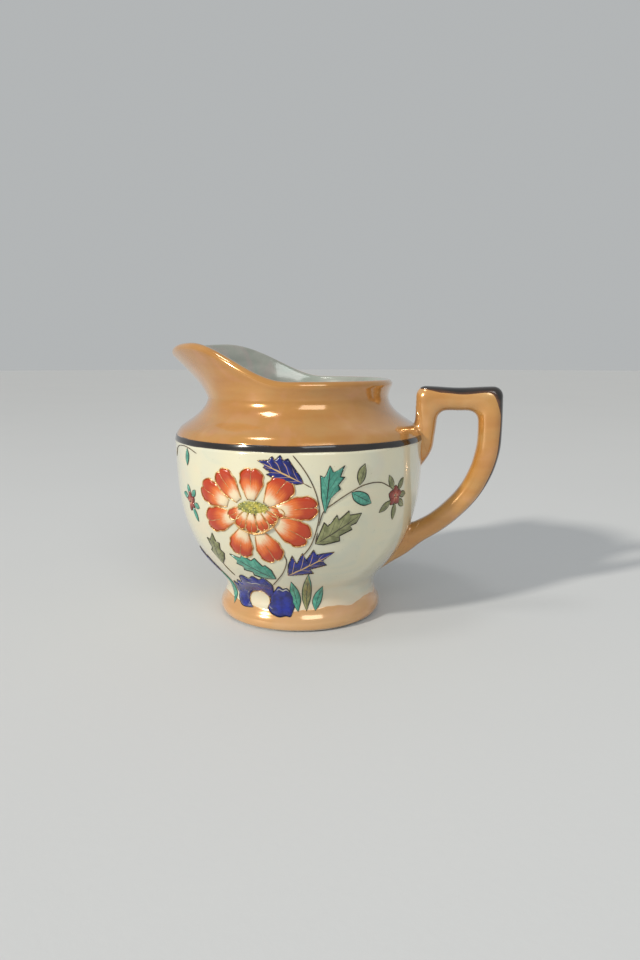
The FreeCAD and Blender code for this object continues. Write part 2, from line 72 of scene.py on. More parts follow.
def smoothThrough(points, perSpan):
    # a smooth line through the points, as a list of vectors
    points = raised(points)
    tangents = []
    for i, point in enumerate(points):
        before, after = points[max(i - 1, 0)], points[min(i + 1, len(points) - 1)]
        length = (point - before).length + (after - point).length
        tangents.append((after - before) / max(length, 1e-6))
    line = [points[0]]
    for i in range(len(points) - 1):
        start, end = points[i], points[i + 1]
        pull = (end - start).length / 3
        pulls = start + tangents[i] * pull, end - tangents[i + 1] * pull
        span = interpolate_bezier(start, *pulls, end, perSpan + 1)
        line += span[1:]
    return line


def aim(turn):
    # cosine and sine of a turn in degrees
    return math.cos(math.radians(turn)), math.sin(math.radians(turn))


def flat(points):
    return [tuple(point[:2]) for point in points]


def raised(points):
    return [Vector(point).to_3d() for point in points]


def alongLine(line, share):
    # the point at a share of the line's length
    total = sum((b - a).length for a, b in zip(line, line[1:]))
    left = total * min(max(share, 0.0), 1.0)
    for a, b in zip(line, line[1:]):
        step = (b - a).length
        if left <= step and step > 0:
            return a.lerp(b, left / step)
        left -= step
    return line[-1].copy()


def movedOut(points, distance):
    # the same (radius, height) curve moved square to itself
    moved = []
    for i, (radius, height) in enumerate(points):
        before, after = points[max(i - 1, 0)], points[min(i + 1, len(points) - 1)]
        along = Vector((after[0] - before[0], after[1] - before[1])).normalized()
        moved.append((radius + along.y * distance, height - along.x * distance))
    return moved


def bellyPoints():
    waist, full = jug["waistRadius"], jug["bellyRadius"]
    low, high = jug["waistHeight"], jug["bellyTop"]
    curve = [(waist + (full - waist) * out, low + (high - low) * up) for up, out in bellyCurve]
    return [(waist, low)] + curve + [(full, high)]


outsideClay = flat(smoothThrough(footCurve + bellyPoints(), 6))


def outsideBetween(low, high, grow, count):
    # points up the foot and belly between two heights
    curve = movedOut(outsideClay, grow)
    heights = [low + (high - low) * i / count for i in range(count + 1)]
    return [(radiusOn(curve, height), height) for height in heights]


def radiusOn(curve, height):
    for (r1, h1), (r2, h2) in zip(curve, curve[1:]):
        if h1 <= height <= h2:
            return r1 + (r2 - r1) * (height - h1) / max(h2 - h1, 1e-6)
    return curve[-1][0] if height > curve[-1][1] else curve[0][0]


def spoutShare(angle):
    if angle >= jug["spoutSpread"]:
        return 0.0
    rounding = jug["spoutRounding"]
    blunt = math.hypot(angle, rounding) - rounding
    full = math.hypot(jug["spoutSpread"], rounding) - rounding
    return (1 - blunt / full) ** 2


def rimRise(angle):
    share = min(max((95.0 - angle) / 65.0, 0.0), 1.0)
    droop = jug["tipDroop"] * math.exp(-(angle / 14.0) ** 2)
    return jug["spoutRise"] * share * share * (3 - 2 * share) - droop


def collarPath(angle):
    # middle of the wall from the shoulder up to where the rim curls over
    pull = spoutShare(angle)
    low, high, wall = jug["lineTop"], jug["neckHeight"], jug["wall"]
    start = jug["lineRadius"] - wall * 0.65
    neck = jug["neckRadius"] - wall / 2 + pull * 0.8
    path = [(start + (neck - start) * out, low + (high - low) * up) for up, out in shoulderCurve]
    path.append((neck, high))
    rim = jug["rimRadius"] - wall / 2 + jug["spoutReach"] * pull
    top = jug["rimHeight"] + rimRise(angle)
    bend = 1.6 - 0.45 * pull
    for share in (0.3, 0.55, 0.8, 1.0):
        path.append((neck + (rim - neck) * share ** bend, high + (top - high) * share))
    return path


def collarColumns(angle, grow):
    # up the outside and over the rim, then from the rim down the inside to the line
    half = jug["wall"] / 2 + grow
    path = collarPath(angle)
    outside = [(jug["lineRadius"] - jug["wall"] / 2 + half, jug["lineTop"])] + movedOut(path, half)
    inside = movedOut(path, -half)[3:]
    before, end = path[-2], path[-1]
    along = Vector((end[0] - before[0], end[1] - before[1])).normalized()
    curl = []
    for turn in (20, 45, 70, 90, 110, 135, 160):
        out, up = (half * part for part in aim(turn))
        curl.append((end[0] + along.y * out + along.x * up, end[1] - along.x * out + along.y * up))
    low = (jug["lineRadius"] - jug["wall"] * 1.3 - (half - jug["wall"] / 2), jug["lineTop"])
    slope = []
    for share in (0.66, 0.33, 0.12, 0.0):
        slope.append((low[0] + (inside[0][0] - low[0]) * share, low[1] + (inside[0][1] - low[1]) * share))
    return outside + curl, inside[::-1] + slope


def insideBelly(grow):
    # from just under the line down the inner wall to the middle of the floor
    wall, floor = jug["wall"], jug["floorHeight"] + grow
    down = movedOut(bellyPoints(), -wall - grow)[2:-1][::-1]
    return down + [(jug["waistRadius"] - wall * 1.25 - grow, floor + wall),
                   (jug["waistRadius"] - wall * 2.6, floor), (9.0, floor), (0.0, floor)]


def surfacePoint(turn, height, lift):
    # a point on the glazed belly, turn in degrees from the middle of the near side towards the handle
    radius = radiusOn(outsideClay, height)
    above, below = radiusOn(outsideClay, height + 0.4), radiusOn(outsideClay, height - 0.4)
    slope = Vector((above - below, 0.8)).normalized()
    x, y = aim(turn - 90)
    out = Vector((x * slope.y, y * slope.y, -slope.x))
    base = Vector((x * radius, y * radius, height))
    return base + out * (lift + jug["glaze"])


def nodeOf(name):
    # the CAD node that a piece of the same name stands for
    return re.sub("(?<!^)(?=[A-Z0-9])", "_", name).lower()


def finished(name, bm, material, slot, nodes, thickness=0.0):
    bmesh.ops.scale(bm, vec=(mm, mm, mm), verts=bm.verts[:])
    mesh = bpy.data.meshes.new(name)
    bm.to_mesh(mesh)
    bm.free()
    for face in mesh.polygons:
        face.use_smooth = True
    piece = bpy.data.objects.new(name, mesh)
    scene.collection.objects.link(piece)
    mesh.materials.append(material)
    if thickness:
        skin = piece.modifiers.new("coat", "SOLIDIFY")
        skin.thickness = thickness * mm
        skin.offset = -1
        skin.use_rim = True
    if nodes:
        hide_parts(*nodes)
    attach(piece, "root")
    return piece


def turnedPiece(columnAt, steps):
    # spin a ladder of levels round Z, then set every level out at its own angle
    bm = bmesh.new()
    levels = len(columnAt(0.0))
    ladder = [bm.verts.new((1, 0, level)) for level in range(levels)]
    for low, high in zip(ladder, ladder[1:]):
        bm.edges.new((low, high))
    bmesh.ops.spin(bm, geom=bm.verts[:] + bm.edges[:], cent=(0, 0, 0), axis=(0, 0, 1),
                   angle=2 * math.pi, steps=steps, use_merge=True)
    uv = bm.loops.layers.uv.new("along")
    for face in bm.faces:
        turns = [math.atan2(loop.vert.co.y, loop.vert.co.x) / (2 * math.pi) % 1 for loop in face.loops]
        wrap = max(turns) - min(turns) > 0.5
        for loop, turn in zip(face.loops, turns):
            loop[uv].uv = (turn + (1 if wrap and turn < 0.5 else 0), loop.vert.co.z / (levels - 1))
    columns = {}
    for vert in bm.verts:
        step = round(math.degrees(math.atan2(vert.co.y, vert.co.x)) / 360 * steps) % steps
        if step not in columns:
            columns[step] = columnAt(step * 360 / steps)
        radius, height = columns[step][round(vert.co.z)]
        around = 2 * math.pi * step / steps
        vert.co = (radius * math.cos(around), radius * math.sin(around), height)
    return welded(bm, 0.002)


def welded(bm, gap):
    bmesh.ops.remove_doubles(bm, verts=bm.verts[:], dist=gap)
    bmesh.ops.recalc_face_normals(bm, faces=bm.faces[:])
    return bm


def fromSpout(turn):
    return abs(180 - turn % 360)


def wrapGrid(bm, rows, columns, place):
    # a flat grid whose every point is placed by its two shares, 0 to 1
    uv = bm.loops.layers.uv.verify()
    made = bmesh.ops.create_grid(bm, x_segments=rows, y_segments=columns, size=0.5)
    verts = made["verts"]
    shares = {vert: (vert.co.x + 0.5, vert.co.y + 0.5) for vert in verts}
    for face in {face for vert in verts for face in vert.link_faces}:
        for loop in face.loops:
            loop[uv].uv = shares[loop.vert]
    for vert, (s, t) in shares.items():
        vert.co = place(s, t)
    return verts


class Wire:
    # a shader socket that takes part in plain sums
    def __init__(self, finish, socket):
        self.finish = finish
        self.socket = socket

    def op(self, kind, *others):
        return self.finish.node("ShaderNodeMath", {"operation": kind}, dict(enumerate((self,) + others)))

    def __add__(self, other):
        return self.op("ADD", other)

    def __sub__(self, other):
        return self.op("SUBTRACT", other)

    def __mul__(self, other):
        return self.op("MULTIPLY", other)

    def ramp(self, low, high):
        # 0 at low and 1 at high, eased
        settings = {"interpolation_type": "SMOOTHSTEP"}
        return self.finish.node("ShaderNodeMapRange", settings, {0: self, 1: low, 2: high, 3: 0.0, 4: 1.0})


class Finish:
    def __init__(self, name, **sockets):
        self.material = bpy.data.materials.new(name)
        self.material.use_nodes = True
        self.tree = self.material.node_tree
        self.shader = self.tree.nodes["Principled BSDF"]
        self.set(**sockets)

    def node(self, kind, settings, values, output=0):
        made = self.tree.nodes.new(kind)
        for key, value in settings.items():
            setattr(made, key, value)
        for key, value in values.items():
            self.join(value, made.inputs[key])
        return Wire(self, made.outputs[output])

    def join(self, value, socket):
        if isinstance(value, Wire):
            self.tree.links.new(value.socket, socket)
        else:
            socket.default_value = value

    def set(self, **sockets):
        for key, value in sockets.items():
            name = re.sub("(?<=[a-z])(?=[A-Z])|(?<=[A-Z])(?=[A-Z][a-z])", " ", key)
            self.join(value, self.shader.inputs[name])
        return self

    def place(self):
        return self.node("ShaderNodeTexCoord", {}, {}, 3)

    def own(self):
        return self.node("ShaderNodeTexCoord", {}, {}, 2)

    def parts(self, vector):
        split = self.tree.nodes.new("ShaderNodeSeparateXYZ")
        self.tree.links.new(vector.socket, split.inputs[0])
        return [Wire(self, out) for out in split.outputs]

    def ownParts(self):
        # share along the piece, and how near its sides
        along, across, _ = self.parts(self.own())
        return along, (across - 0.5).op("ABSOLUTE") * 2

    def stretch(self, vector, sizes):
        return self.node("ShaderNodeVectorMath", {"operation": "MULTIPLY"}, {0: vector, 1: sizes})

    def noise(self, vector, scale, detail=3.0, roughness=0.5, distortion=0.0):
        return self.node("ShaderNodeTexNoise", {}, {"Vector": vector, "Scale": scale, "Detail": detail,
                                                    "Roughness": roughness, "Distortion": distortion})

    def mix(self, share, first, second):
        return self.node("ShaderNodeMix", {"data_type": "RGBA", "clamp_factor": True},
                         {0: share, 6: first, 7: second}, 2)

    def bump(self, height, strength, distance):
        made = self.node("ShaderNodeBump", {},
                         {"Strength": strength, "Distance": distance * mm, "Height": height})
        self.join(made, self.shader.inputs["Normal"])
        return self


def tone(red, green, blue):
    # a screen colour, 0 to 255, as the shader wants it
    linear = [((c / 255 + 0.055) / 1.055) ** 2.4 if c > 10 else c / 255 / 12.92 for c in (red, green, blue)]
    return (*linear, 1.0)


def amberLustre(name, deep, light, paleSheenTone):
    # a brushed, fired lustre: nearly even in colour, with soft strokes; its pearly bloom and pale patches are
    # painted sheen
    f = Finish(name, CoatWeight=1.0, CoatRoughness=0.025, SpecularIORLevel=0.7)
    spot = f.place()
    strokes = f.noise(f.stretch(spot, (22, 22, 150)), 1.0, 3.0, 0.5)
    clouds = f.noise(spot, 38.0, 3.0, 0.5, 0.5)
    fine = f.noise(spot, 900.0, 2.0, 0.6)
    body = f.mix(strokes.ramp(0.25, 0.78) * 0.7 + fine * 0.1, deep, light)
    # pale clouds are painted sheen, the lighter reflections of the glossy lustre
    body = f.mix(clouds.ramp(0.5, 0.76) * 0.4, body, paleSheenTone)
    # rose and grey-green pearl patches are painted iridescent sheen
    pearlSheenNoise = f.noise(spot, 70.0, 2.0, 0.5, 1.4)
    roseSheenColour = f.mix(pearlSheenNoise.ramp(0.52, 0.7) * 0.12, body, tone(228, 160, 140))
    f.set(BaseColor=f.mix(pearlSheenNoise.ramp(0.46, 0.3) * 0.1, roseSheenColour, tone(160, 160, 104)))
    f.set(Roughness=strokes * 0.06 + fine * 0.05 + 0.1, Metallic=clouds * 0.25 + 0.16)
    return f.bump(strokes * 0.6 + fine * 0.06, 0.16, 0.05).material


def ivoryGlaze(name, colour, blush):
    # blush is how strongly the lustre of the foot has strayed up over the glaze
    f = Finish(name, CoatWeight=0.8, CoatRoughness=0.02, SpecularIORLevel=0.55)
    spot = f.place()
    clouds = f.noise(spot, 45.0, 3.0, 0.5, 0.8)
    pearlSheenNoise = f.noise(f.stretch(spot, (60, 60, 110)), 1.0, 2.0, 0.5, 1.4)
    fine = f.noise(spot, 1400.0, 2.0, 0.6)
    specks = f.node("ShaderNodeTexVoronoi", {}, {"Vector": spot, "Scale": 420.0, "Randomness": 1.0})
    body = f.mix(clouds.ramp(0.35, 0.7) * 0.6, colour, tone(206, 206, 190))
    # warm and grey-green pearl patches are painted iridescent sheen of the pearl lustre
    body = f.mix(pearlSheenNoise.ramp(0.52, 0.7) * 0.22, body, tone(232, 206, 176))
    body = f.mix(pearlSheenNoise.ramp(0.46, 0.3) * 0.16, body, tone(178, 196, 186))
    body = f.mix(specks.ramp(0.075, 0.045) * 0.35, body, tone(150, 135, 105))
    height = f.parts(spot)[2]
    stray = (height + clouds * 0.014 + pearlSheenNoise * 0.01).ramp(0.031, 0.014) * pearlSheenNoise.ramp(0.3, 0.62)
    body = f.mix(stray * blush, body, tone(226, 180, 140))
    f.set(BaseColor=body, Roughness=clouds * 0.06 + fine * 0.05 + 0.07)
    return f.bump(clouds * 0.6 + fine * 0.08, 0.16, 0.08).material


def pearlLustre(name):
    f = Finish(name, CoatWeight=0.6, CoatRoughness=0.05)
    spot = f.place()
    flow = f.noise(f.stretch(spot, (30, 30, 90)), 1.0, 3.0, 0.55, 1.2)
    pearlSheenNoise = f.noise(spot, 75.0, 2.0, 0.5, 2.0)
    fine = f.noise(spot, 1100.0, 2.0, 0.6)
    body = f.mix(flow.ramp(0.3, 0.72), tone(146, 149, 140), tone(178, 179, 168))
    # rose and grey-green pearl patches are painted iridescent sheen
    body = f.mix(pearlSheenNoise.ramp(0.52, 0.66) * 0.24, body, tone(186, 158, 158))
    body = f.mix(pearlSheenNoise.ramp(0.46, 0.33) * 0.24, body, tone(134, 158, 144))
    f.set(BaseColor=body, Roughness=flow * 0.1 + fine * 0.05 + 0.08, Metallic=flow * 0.25 + 0.05)
    return f.bump(flow * 0.6 + fine * 0.1, 0.2, 0.07).material


def blackEnamel(name, edge):
    # brushed on thinner, and so browner, towards its edges
    f = Finish(name, CoatWeight=0.7, CoatRoughness=0.04)
    spot = f.place()
    _, side = f.ownParts()
    brush = f.noise(f.stretch(spot, (160, 160, 700)), 1.0, 3.0, 0.6)
    rim = (side + brush * 0.3).ramp(0.82, 1.2)
    body = f.mix(brush.ramp(0.35, 0.75), tone(16, 13, 12), tone(38, 27, 21))
    f.set(BaseColor=f.mix(rim * 0.8, body, edge), Roughness=brush * 0.12 + 0.08)
    return f.bump(brush, 0.3, 0.05).material


def bareClay(name):
    f = Finish(name)
    spot = f.place()
    grain = f.noise(spot, 1800.0, 4.0, 0.7)
    stain = f.noise(spot, 140.0, 3.0, 0.6)
    f.set(BaseColor=f.mix(stain.ramp(0.45, 0.75) * 0.7, tone(232, 228, 216), tone(196, 182, 156)),
          Roughness=grain * 0.2 + 0.6)
    return f.bump(grain, 0.5, 0.08).material


def petalEnamel(name, tipTone, midTone, rootTone, reach):
    # strong at the tip and sides, washed out towards the root, with fine strokes along the petal
    f = Finish(name, CoatWeight=0.5, CoatRoughness=0.06)
    along, side = f.ownParts()
    spot = f.place()
    strokes = f.noise(f.stretch(f.own(), (3.0, 26.0, 1.0)), 1.0, 3.0, 0.6)
    wash = f.noise(spot, 420.0, 2.0, 0.5)
    strength = along + side * side * 0.3 + strokes * 0.34 + wash * 0.2 - 0.27
    body = f.mix(strength.ramp(reach - 0.12, reach + 0.16), rootTone, midTone)
    body = f.mix(strength.ramp(reach + 0.08, reach + 0.42), body, tipTone)
    f.set(BaseColor=body, Roughness=strokes * 0.15 + 0.14)
    return f.bump(strokes * 0.8 + wash * 0.5, 0.35, 0.08).material


def leafEnamel(name, light, dark, vein, middleBlade=None):
    # a middle vein and swept side veins over a washed enamel
    f = Finish(name, CoatWeight=0.5, CoatRoughness=0.07)
    along, side = f.ownParts()
    wash = f.noise(f.place(), 520.0, 3.0, 0.6)
    middle = (side + (along - 0.9).op("MAXIMUM", 0.0) * 4).ramp(0.09, 0.035)
    sweep = ((along - side * 0.22) * 5.2).op("FRACT")
    ribs = (sweep - 0.5).op("ABSOLUTE").ramp(0.055, 0.02) * side.ramp(0.9, 0.6) * along.ramp(0.9, 0.75)
    body = f.mix(wash.ramp(0.3, 0.72), dark, light)
    if middleBlade:
        x, _, _ = f.parts(f.place())
        bladeMiddle, bladeHalf = 7.1 * mm, 1.7 * mm
        between = (x - bladeMiddle).op("ABSOLUTE").ramp(bladeHalf, bladeHalf - 0.2 * mm)
        body = f.mix(between, body, f.mix(wash.ramp(0.3, 0.72), tone(112, 108, 62), middleBlade))
    body = f.mix(side.ramp(0.5, 1.0) * 0.45, body, dark)
    veins = (middle + ribs * 0.85).op("MINIMUM", 1.0)
    f.set(BaseColor=f.mix(veins, body, vein), Roughness=wash * 0.16 + 0.14)
    return f.bump(wash + middle * 0.6, 0.35, 0.09).material


def rockEnamel(name):
    f = Finish(name, CoatWeight=0.7, CoatRoughness=0.05)
    swirl = f.node("ShaderNodeTexWave", {"wave_type": "BANDS", "bands_direction": "Y"},
                   {"Vector": f.own(), "Scale": 1.2, "Distortion": 4.0, "Detail": 1.0, "Detail Scale": 1.2})
    wash = f.noise(f.place(), 480.0, 3.0, 0.6)
    body = f.mix(wash.ramp(0.3, 0.7), tone(6, 14, 84), tone(20, 36, 138))
    patch = f.noise(f.place(), 210.0, 1.0, 0.5)
    body = f.mix(swirl.ramp(0.94, 0.99) * patch.ramp(0.5, 0.6) * 0.8, body, tone(198, 196, 178))
    f.set(BaseColor=body, Roughness=wash * 0.15 + 0.1)
    return f.bump(wash + swirl * 0.6, 0.4, 0.1).material


def goldLine(name):
    f = Finish(name, CoatWeight=0.2, CoatRoughness=0.1)
    spot = f.place()
    wear = f.noise(spot, 700.0, 3.0, 0.6)
    f.set(BaseColor=f.mix(wear.ramp(0.35, 0.75), tone(186, 128, 62), tone(252, 220, 160)),
          Metallic=wear * 0.3 + 0.3, Roughness=wear * 0.25 + 0.12)
    return f.bump(wear, 0.4, 0.06).material


def inkLine(name, first, second):
    f = Finish(name, CoatWeight=0.3, CoatRoughness=0.1)
    wear = f.noise(f.place(), 600.0, 3.0, 0.6)
    f.set(BaseColor=f.mix(wear.ramp(0.3, 0.75), first, second), Roughness=wear * 0.25 + 0.2)
    return f.bump(wear, 0.3, 0.05).material


def stamenEnamel(name):
    f = Finish(name, CoatWeight=0.4, CoatRoughness=0.08)
    spot = f.place()
    cells = f.node("ShaderNodeTexVoronoi", {}, {"Vector": spot, "Scale": 1250.0, "Randomness": 1.0})
    wash = f.noise(spot, 700.0, 3.0, 0.6)
    body = f.mix(wash.ramp(0.35, 0.7), tone(112, 118, 62), tone(200, 186, 76))
    body = f.mix(cells.ramp(0.34, 0.2) * 0.75, body, tone(236, 222, 120))
    f.set(BaseColor=body, Roughness=wash * 0.2 + 0.2)
    return f.bump(cells.ramp(0.5, 0.1), 0.6, 0.15).material


turquoise = tone(92, 170, 146), tone(50, 128, 110), tone(26, 58, 50)
looks = {
    # the third tone of each amber lustre is its painted sheen, the pale reflection colour
    "collar": amberLustre("amberCollar", tone(180, 120, 48), tone(208, 156, 82), tone(230, 192, 136)),
    "foot": amberLustre("amberFoot", tone(208, 152, 92), tone(222, 174, 116), tone(232, 200, 158)),
    "handle": amberLustre("amberHandle", tone(184, 124, 54), tone(210, 158, 88), tone(230, 192, 138)),
    "belly": ivoryGlaze("ivoryBelly", tone(218, 212, 182), 0.55),
    "base": ivoryGlaze("ivoryBase", tone(218, 210, 190), 0.0),
    "inside": pearlLustre("pearlInside"),
    "line": blackEnamel("blackLine", tone(74, 44, 22)),
    "handleLine": blackEnamel("blackHandleLine", tone(96, 56, 26)),
    "clay": bareClay("bareClay"),
    "petal": petalEnamel("orangePetal", tone(178, 54, 8), tone(220, 112, 42), tone(228, 208, 172), 0.36),
    "cup": petalEnamel("orangeCup", tone(184, 66, 14), tone(220, 118, 52), tone(230, 212, 178), 0.4),
    "smallPetal": petalEnamel("redSmallPetal", tone(128, 44, 30), tone(170, 70, 48), tone(205, 160, 130),
                              0.2),
    "stamen": stamenEnamel("yellowStamens"),
    "blueLeaf": leafEnamel("blueLeaf", tone(14, 34, 138), tone(6, 12, 74), tone(206, 168, 110)),
    "turquoiseLeaf": leafEnamel("turquoiseLeaf", *turquoise),
    "oliveLeaf": leafEnamel("oliveLeaf", tone(146, 148, 102), tone(104, 108, 66), tone(62, 58, 38)),
    "grass": leafEnamel("grassBlade", *turquoise, tone(150, 146, 92)),
    "rock": rockEnamel("blueRock"),
    "gold": goldLine("goldLine"),
    "ink": inkLine("darkOutline", tone(24, 24, 22), tone(58, 48, 36)),
    "stem": inkLine("brownStem", tone(66, 52, 38), tone(112, 92, 60)),
}
print("finishes ready")


def clayColumn(turn):
    recess, inner = jug["baseRecess"], jug["footRadius"] - jug["footRing"]
    low = [(0.0, recess), (12.0, recess), (inner - recess, recess), (inner - 0.2, 0.25), (inner + 0.3, 0.0),
           (jug["footRadius"] - 0.4, 0.0)]
    up, down = collarColumns(fromSpout(turn), -0.08)
    outside = outsideBetween(0.12, jug["bellyTop"], -0.06, 40)
    return low + outside + up + down + insideBelly(-0.08)


def bellyColumn(turn):
    return outsideBetween(5.0, jug["bellyTop"] - 0.02, jug["glaze"], 56)


def wave(turn, seed):
    # a slow hand-brushed waver, the same at 0 and 360 degrees
    x, y = aim(turn)
    return noise.noise(Vector((x * 2.2, y * 2.2, seed)))


def footColumn(turn):
    top = footHigh.z / mm + 0.5 + 2.4 * wave(turn, 3.1) + 0.7 * wave(turn * 3, 8.4)
    column = outsideBetween(0.8, top, jug["glaze"] + 0.05, 26)
    column[-1] = (column[-1][0] - 0.09, column[-1][1])
    return column


def lineColumn(turn):
    low = jug["bellyTop"] - 0.15 + 0.18 * wave(turn * 2, 1.3)
    high = jug["lineTop"] + 0.1 + 0.22 * wave(turn * 2, 5.7)
    column = []
    for i in range(9):
        share = i / 8
        height = low + (high - low) * share
        lean = max(0.0, (height - jug["bellyTop"]) / (jug["lineTop"] - jug["bellyTop"]))
        radius = jug["bellyRadius"] - lean * 0.4 + jug["glaze"]
        column.append((radius - 0.03 + 0.13 * math.sin(math.pi * share) ** 0.5, height))
    return column


def collarColumn(turn):
    up, _ = collarColumns(fromSpout(turn), jug["glaze"])
    return flat(smoothThrough(up[:-2], 4))


def insideColumn(turn):
    up, down = collarColumns(fromSpout(turn), jug["glaze"] - 0.03)
    line = up[-4:] + down + insideBelly(jug["glaze"])
    return flat(smoothThrough(line, 4))


def baseColumn(turn):
    under, inner = jug["baseRecess"] - 0.2, jug["footRadius"] - jug["footRing"]
    return [(0.0, under), (10.0, under), (inner - 2.4, under), (inner - 1.5, under - 0.08),
            (inner - 0.9, 0.75), (inner - 0.35, 0.4)]


def firstUp(bm, key, up):
    # turn the whole skin over unless its lowest or inmost face looks the wanted way
    if (min(bm.faces, key=key).normal.z > 0) != up:
        bmesh.ops.reverse_faces(bm, faces=bm.faces[:])


outerSkin = 0.2
# column, steps round, finish, slot, thickness
skins = {
    "bodyClay": (clayColumn, 128, "clay", "porcelain", 0.0),
    "bellyGlaze": (bellyColumn, jug["steps"], "belly", "ivory_glaze", outerSkin),
    "footGlaze": (footColumn, jug["steps"], "foot", "amber_lustre", outerSkin),
    "shoulderLine": (lineColumn, jug["steps"], "line", "black_enamel", outerSkin),
    "collarGlaze": (collarColumn, jug["steps"], "collar", "amber_lustre", outerSkin),
    "insideGlaze": (insideColumn, jug["steps"], "inside", "pearl_lustre", 0.15),
    "baseGlaze": (baseColumn, 128, "base", "ivory_glaze", 0.15),
}
for name, (column, steps, look, slot, thickness) in skins.items():
    skinBm = turnedPiece(column, steps)
    if name == "insideGlaze":
        firstUp(skinBm, lambda face: face.calc_center_median().z + face.calc_center_median().xy.length, True)
    if name == "baseGlaze":
        firstUp(skinBm, lambda face: face.calc_center_median().xy.length, False)
    node = "body_casting" if name == "bodyClay" else nodeOf(name)
    piece = finished(name, skinBm, looks[look], slot, [node], thickness)
    face = piece.data.polygons[0]
    if thickness == outerSkin and face.normal.xy.dot(Vector(face.center).xy) < 0:
        piece.data.flip_normals()
print("vessel ready")

grip = {"postX": 40.2, "postWidth": 6.6, "top": 72.8, "bar": 7.4, "outerX": 63.0, "limb": 7.2, "depth": 7.4,
        "squareness": 0.85, "dish": 0.45, "corner": 3.0, "rings": 150, "round": 36}
gripCurve = [(0.986, 0.93, 3.6), (0.94, 0.83, 3.5), (0.845, 0.715, 3.3), (0.71, 0.615, 3.2),
             (0.555, 0.53, 3.2), (0.395, 0.467, 3.4), (0.25, 0.40, 3.8), (0.09, 0.335, 3.9),
             (-0.07, 0.24, 3.0)]


def gripRungs():
    # pairs of points, outer edge and inner edge, from the shoulder round to the belly
    left, right = grip["postX"] - grip["postWidth"] / 2, grip["postX"] + grip["postWidth"] / 2
    under, innerX = grip["top"] - grip["bar"], grip["outerX"] - grip["limb"]
    bend, top = grip["corner"], jug["bellyTop"]
    pairs = [((left - 1.2, top - 9), (jug["bellyRadius"] - 0.6, top - 9.5)),
             ((left - 0.3, top - 3), (right - 1.4, top - 3.5)),
             ((left, jug["lineTop"]), (right - 0.5, jug["lineTop"])),
             ((left, 62.0), (right - 0.1, 61.6))]
    for side, turns in ((-1, (0, 30, 60, 90)), (1, (90, 60, 30, 0))):
        for turn in turns:
            across, up = aim(turn)
            out = (side * across * bend, up * bend)
            outer = (left + bend if side < 0 else grip["outerX"] - bend, grip["top"] - bend)
            inner = (right + bend if side < 0 else innerX - bend, under - bend)
            pairs.append(((outer[0] + out[0], outer[1] + out[1]), (inner[0] + out[0], inner[1] + out[1])))
        if side < 0:
            middle = (grip["postX"] + grip["outerX"] - grip["limb"] / 2) / 2
            pairs.append(((middle, grip["top"] - grip["dish"]), (middle, under)))
    limbX = grip["outerX"] - grip["limb"] / 2
    spine = [(limbX, top, grip["limb"] / 2)]
    for out, up, half in gripCurve:
        spine.append((jug["waistRadius"] + (limbX - jug["waistRadius"]) * out, top * up, half))
    for i, (x, z, half) in enumerate(spine):
        before, after = spine[max(i - 1, 0)], spine[min(i + 1, len(spine) - 1)]
        along = Vector((after[0] - before[0], after[1] - before[1])).normalized() if i else Vector((0, -1))
        pairs.append(((x - along.y * half, z + along.x * half), (x + along.y * half, z - along.x * half)))
    return pairs


pairs = gripRungs()
outerEdge = smoothThrough([(x, 0, z) for (x, z), _ in pairs], 10)
innerEdge = smoothThrough([(x, 0, z) for _, (x, z) in pairs], 10)


def gripPoint(share, turn, lift=0.0):
    # a point on the handle, turn 0 is its outer edge and 180 its inner edge
    at = share * (len(outerEdge) - 1)
    low = min(int(at), len(outerEdge) - 2)
    outer = outerEdge[low].lerp(outerEdge[low + 1], at - low)
    inner = innerEdge[low].lerp(innerEdge[low + 1], at - low)
    across, side = aim(turn)
    across = math.copysign(abs(across) ** grip["squareness"], across)
    side = math.copysign(abs(side) ** grip["squareness"], side)
    half = (outer - inner) / 2
    out = half.normalized()
    return (outer + inner) / 2 + half * across + Vector((0, grip["depth"] / 2 * side, 0)) + \
        (out * across + Vector((0, side, 0))) * lift


def evenShares(count):
    # shares along the handle that stand at even distances along its middle
    middle = [(a + b) / 2 for a, b in zip(outerEdge, innerEdge)]
    lengths = [0.0]
    for a, b in zip(middle, middle[1:]):
        lengths.append(lengths[-1] + (b - a).length)
    shares = []
    for i in range(count + 1):
        want = lengths[-1] * i / count
        at = next((k for k in range(1, len(lengths)) if lengths[k] >= want), len(lengths) - 1)
        step = max(lengths[at] - lengths[at - 1], 1e-6)
        shares.append((at - 1 + (want - lengths[at - 1]) / step) / (len(lengths) - 1))
    return shares


ringShares = evenShares(grip["rings"])


def gripAt(share):
    at = share * grip["rings"]
    low = min(int(at), grip["rings"] - 1)
    return ringShares[low] + (ringShares[low + 1] - ringShares[low]) * (at - low)


# the body as one surface, to lay the slips and lines on
probeBm = turnedPiece(lambda turn: outsideBetween(0.0, jug["bellyTop"], jug["glaze"], 50)
                      + collarColumns(fromSpout(turn), jug["glaze"])[0], 180)
bodyTree = BVHTree.FromBMesh(probeBm)
probeBm.free()


def keptInWall(bm, depth):
    # the roots stop in the middle of the wall
    for vert in bm.verts:
        near, out, _, _ = bodyTree.find_nearest(vert.co)
        if (near - vert.co).dot(out) > depth:
            vert.co = near - out * depth


handleBm = bmesh.new()
wrapGrid(handleBm, grip["rings"], grip["round"], lambda s, t: gripPoint(gripAt(s), t * 360 - 180))
bmesh.ops.remove_doubles(handleBm, verts=handleBm.verts[:], dist=0.001)
bmesh.ops.holes_fill(handleBm, edges=[edge for edge in handleBm.edges if edge.is_boundary], sides=0)
bmesh.ops.recalc_face_normals(handleBm, faces=handleBm.faces[:])
keptInWall(handleBm, 1.3)
finished("handle", handleBm, looks["handle"], "amber_lustre", ["handle_casting"])


